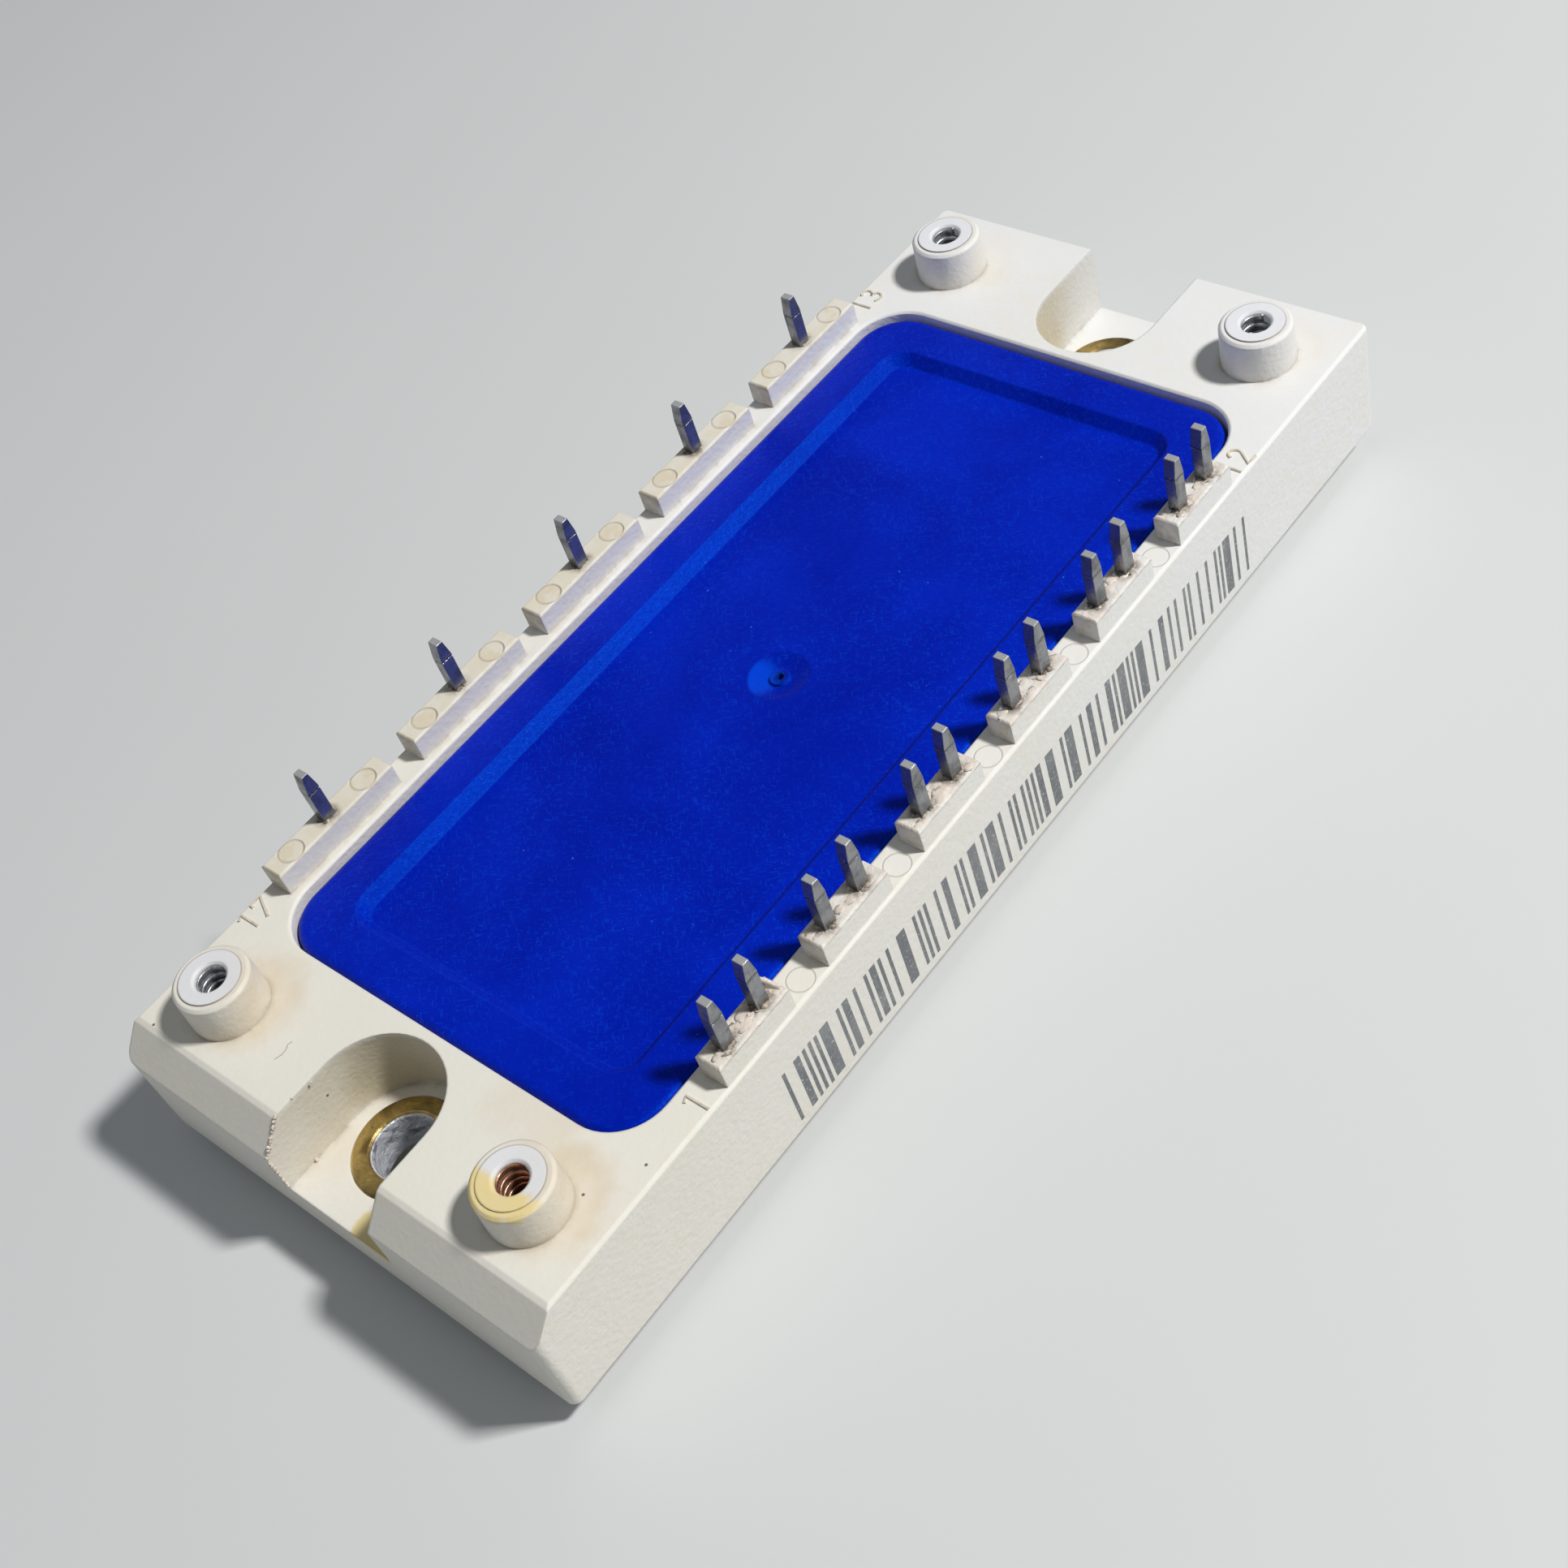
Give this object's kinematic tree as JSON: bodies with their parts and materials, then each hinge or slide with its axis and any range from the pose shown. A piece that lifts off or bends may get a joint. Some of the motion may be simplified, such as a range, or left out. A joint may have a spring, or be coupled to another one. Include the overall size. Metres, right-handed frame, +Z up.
{
  "type": "power semiconductor module",
  "caption": "Flat power module: pale moulded frame on a metal base plate, blue lid, two rows of solder pins, four board bosses and an open screw notch at each end.",
  "frame": {"origin": "middle of the module on the plane that the base plate rests on", "axes": "+X along the module from pin 1 to pin 12, -Y towards the row of twelve control pins, +Y towards the row of five power pins, +Z up"},
  "size_m": [0.1076, 0.045, 0.0205],
  "materials": {
    "frame_plastic": "matte",
    "lid_plastic": "satin",
    "nickel_plate": "satin",
    "bush_brass": "worn",
    "tinned_copper": "dull",
    "solder": "dull",
    "copper": "satin",
    "ceramic": "matte",
    "chip_metal": "satin",
    "wire_aluminium": "satin",
    "clear_gel": "soft, clear"
  },
  "bodies": {
    "root": {"housing_frame": "frame_plastic", "lid": "lid_plastic", "base_plate": "nickel_plate", "mounting_bush_near": "bush_brass", "mounting_bush_far": "bush_brass", "terminal_pin_01": "tinned_copper", "terminal_pin_02": "tinned_copper", "terminal_pin_03": "tinned_copper", "terminal_pin_04": "tinned_copper", "terminal_pin_05": "tinned_copper", "terminal_pin_06": "tinned_copper", "terminal_pin_07": "tinned_copper", "terminal_pin_08": "tinned_copper", "terminal_pin_09": "tinned_copper", "terminal_pin_10": "tinned_copper", "terminal_pin_11": "tinned_copper", "terminal_pin_12": "tinned_copper", "terminal_pin_13": "tinned_copper", "terminal_pin_14": "tinned_copper", "terminal_pin_15": "tinned_copper", "terminal_pin_16": "tinned_copper", "terminal_pin_17": "tinned_copper", "substrate_solder_1": "solder", "lower_copper_1": "copper", "ceramic_tile_1": "ceramic", "upper_copper_1": "copper", "chip_solder_1": "solder", "chip_wires_1": "wire_aluminium", "signal_wires_1": "wire_aluminium", "substrate_solder_2": "solder", "lower_copper_2": "copper", "ceramic_tile_2": "ceramic", "upper_copper_2": "copper", "chip_solder_2": "solder", "chip_wires_2": "wire_aluminium", "signal_wires_2": "wire_aluminium", "substrate_solder_3": "solder", "lower_copper_3": "copper", "ceramic_tile_3": "ceramic", "upper_copper_3": "copper", "chip_solder_3": "solder", "chip_wires_3": "wire_aluminium", "signal_wires_3": "wire_aluminium", "igbt_chip_1": "chip_metal", "diode_chip_1": "chip_metal", "igbt_chip_2": "chip_metal", "diode_chip_2": "chip_metal", "igbt_chip_3": "chip_metal", "diode_chip_3": "chip_metal", "igbt_chip_4": "chip_metal", "diode_chip_4": "chip_metal", "igbt_chip_5": "chip_metal", "diode_chip_5": "chip_metal", "igbt_chip_6": "chip_metal", "diode_chip_6": "chip_metal", "terminal_wires": "wire_aluminium", "link_wires": "wire_aluminium", "silicone_gel": "clear_gel"}
  },
  "joints": []
}
